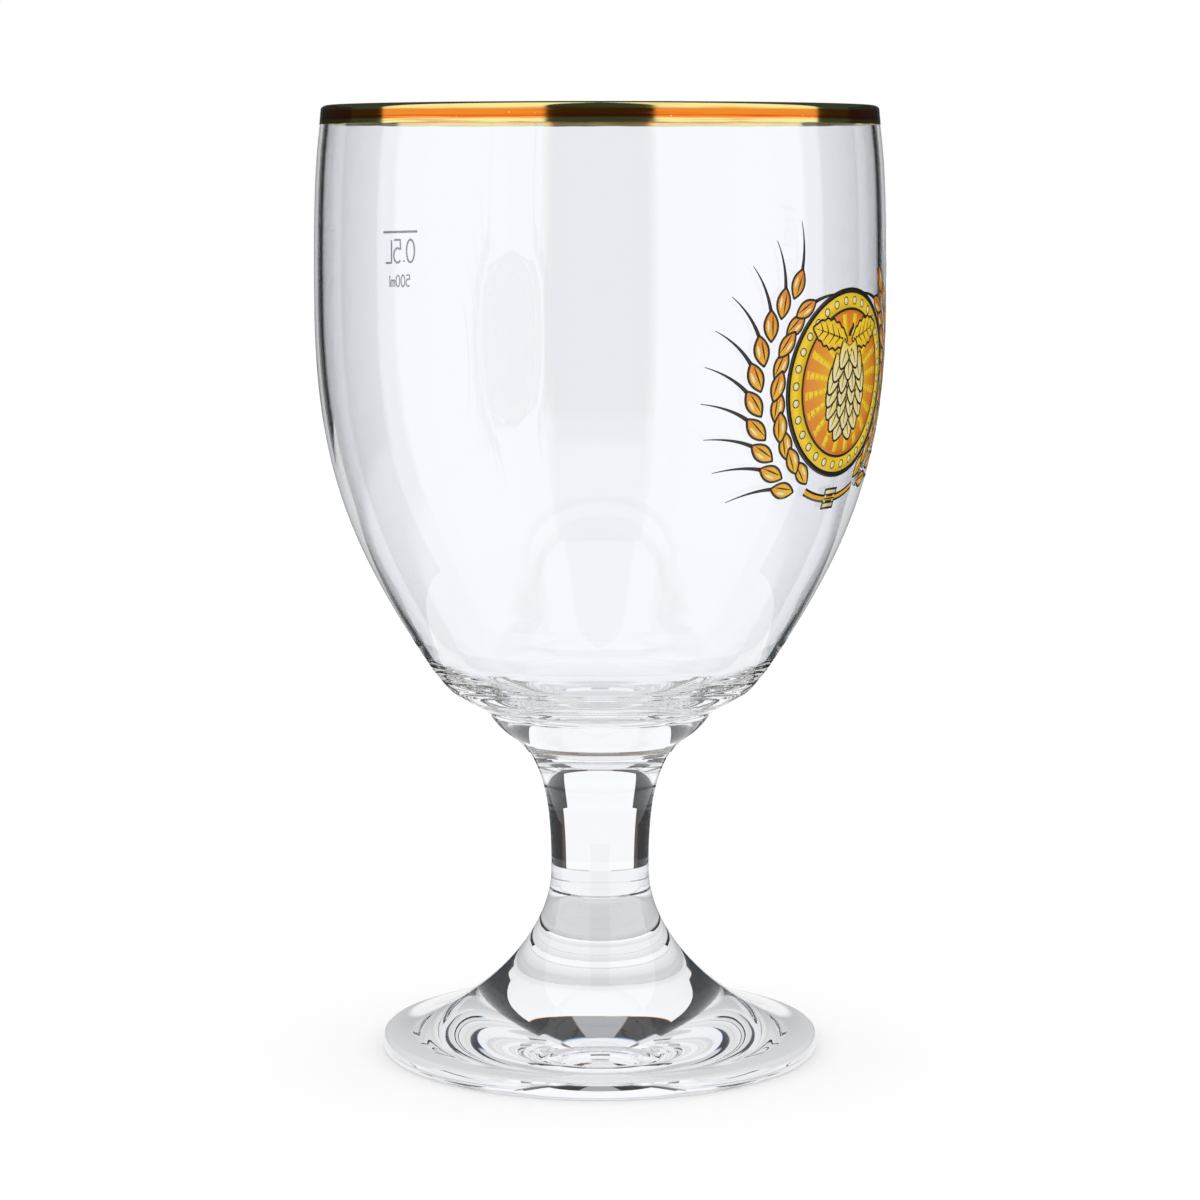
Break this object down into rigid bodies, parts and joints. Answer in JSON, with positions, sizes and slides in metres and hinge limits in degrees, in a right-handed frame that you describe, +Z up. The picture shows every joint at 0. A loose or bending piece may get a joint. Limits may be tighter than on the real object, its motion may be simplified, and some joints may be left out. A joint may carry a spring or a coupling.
{
  "type": "chalice beer glass",
  "caption": "Stemmed clear glass chalice with a deep rounded bowl, thick floor, waisted stem, flared disc foot, gold lip line and a printed hop and barley medallion.",
  "frame": {"origin": "on the glass's axis, in the plane that the foot rests on", "axes": "+Z up along the axis; -Y is the side that faces the viewer of the picture; the emblem's middle is 57 degrees round from -Y towards +X, and the capacity mark 229.5 degrees"},
  "size_m": [0.1033, 0.1032, 0.1725],
  "materials": {
    "clear_glass": "fire-polished clear soda-lime glass",
    "gold_lustre": "polished, bright fired gold lustre",
    "amber_enamel": "gloss, fired screen-printed enamel",
    "yellow_enamel": "gloss, fired screen-printed enamel",
    "cream_enamel": "gloss, fired screen-printed enamel",
    "dark_enamel": "gloss, fired screen-printed enamel",
    "grey_enamel": "satin, fired screen-printed enamel"
  },
  "bodies": {
    "root": {"bowl": "clear_glass", "stem": "clear_glass", "foot": "clear_glass", "gold_rim": "gold_lustre", "emblem_amber": "amber_enamel", "emblem_yellow": "yellow_enamel", "emblem_cream": "cream_enamel", "emblem_outline": "dark_enamel", "fill_line": "grey_enamel"}
  },
  "joints": []
}
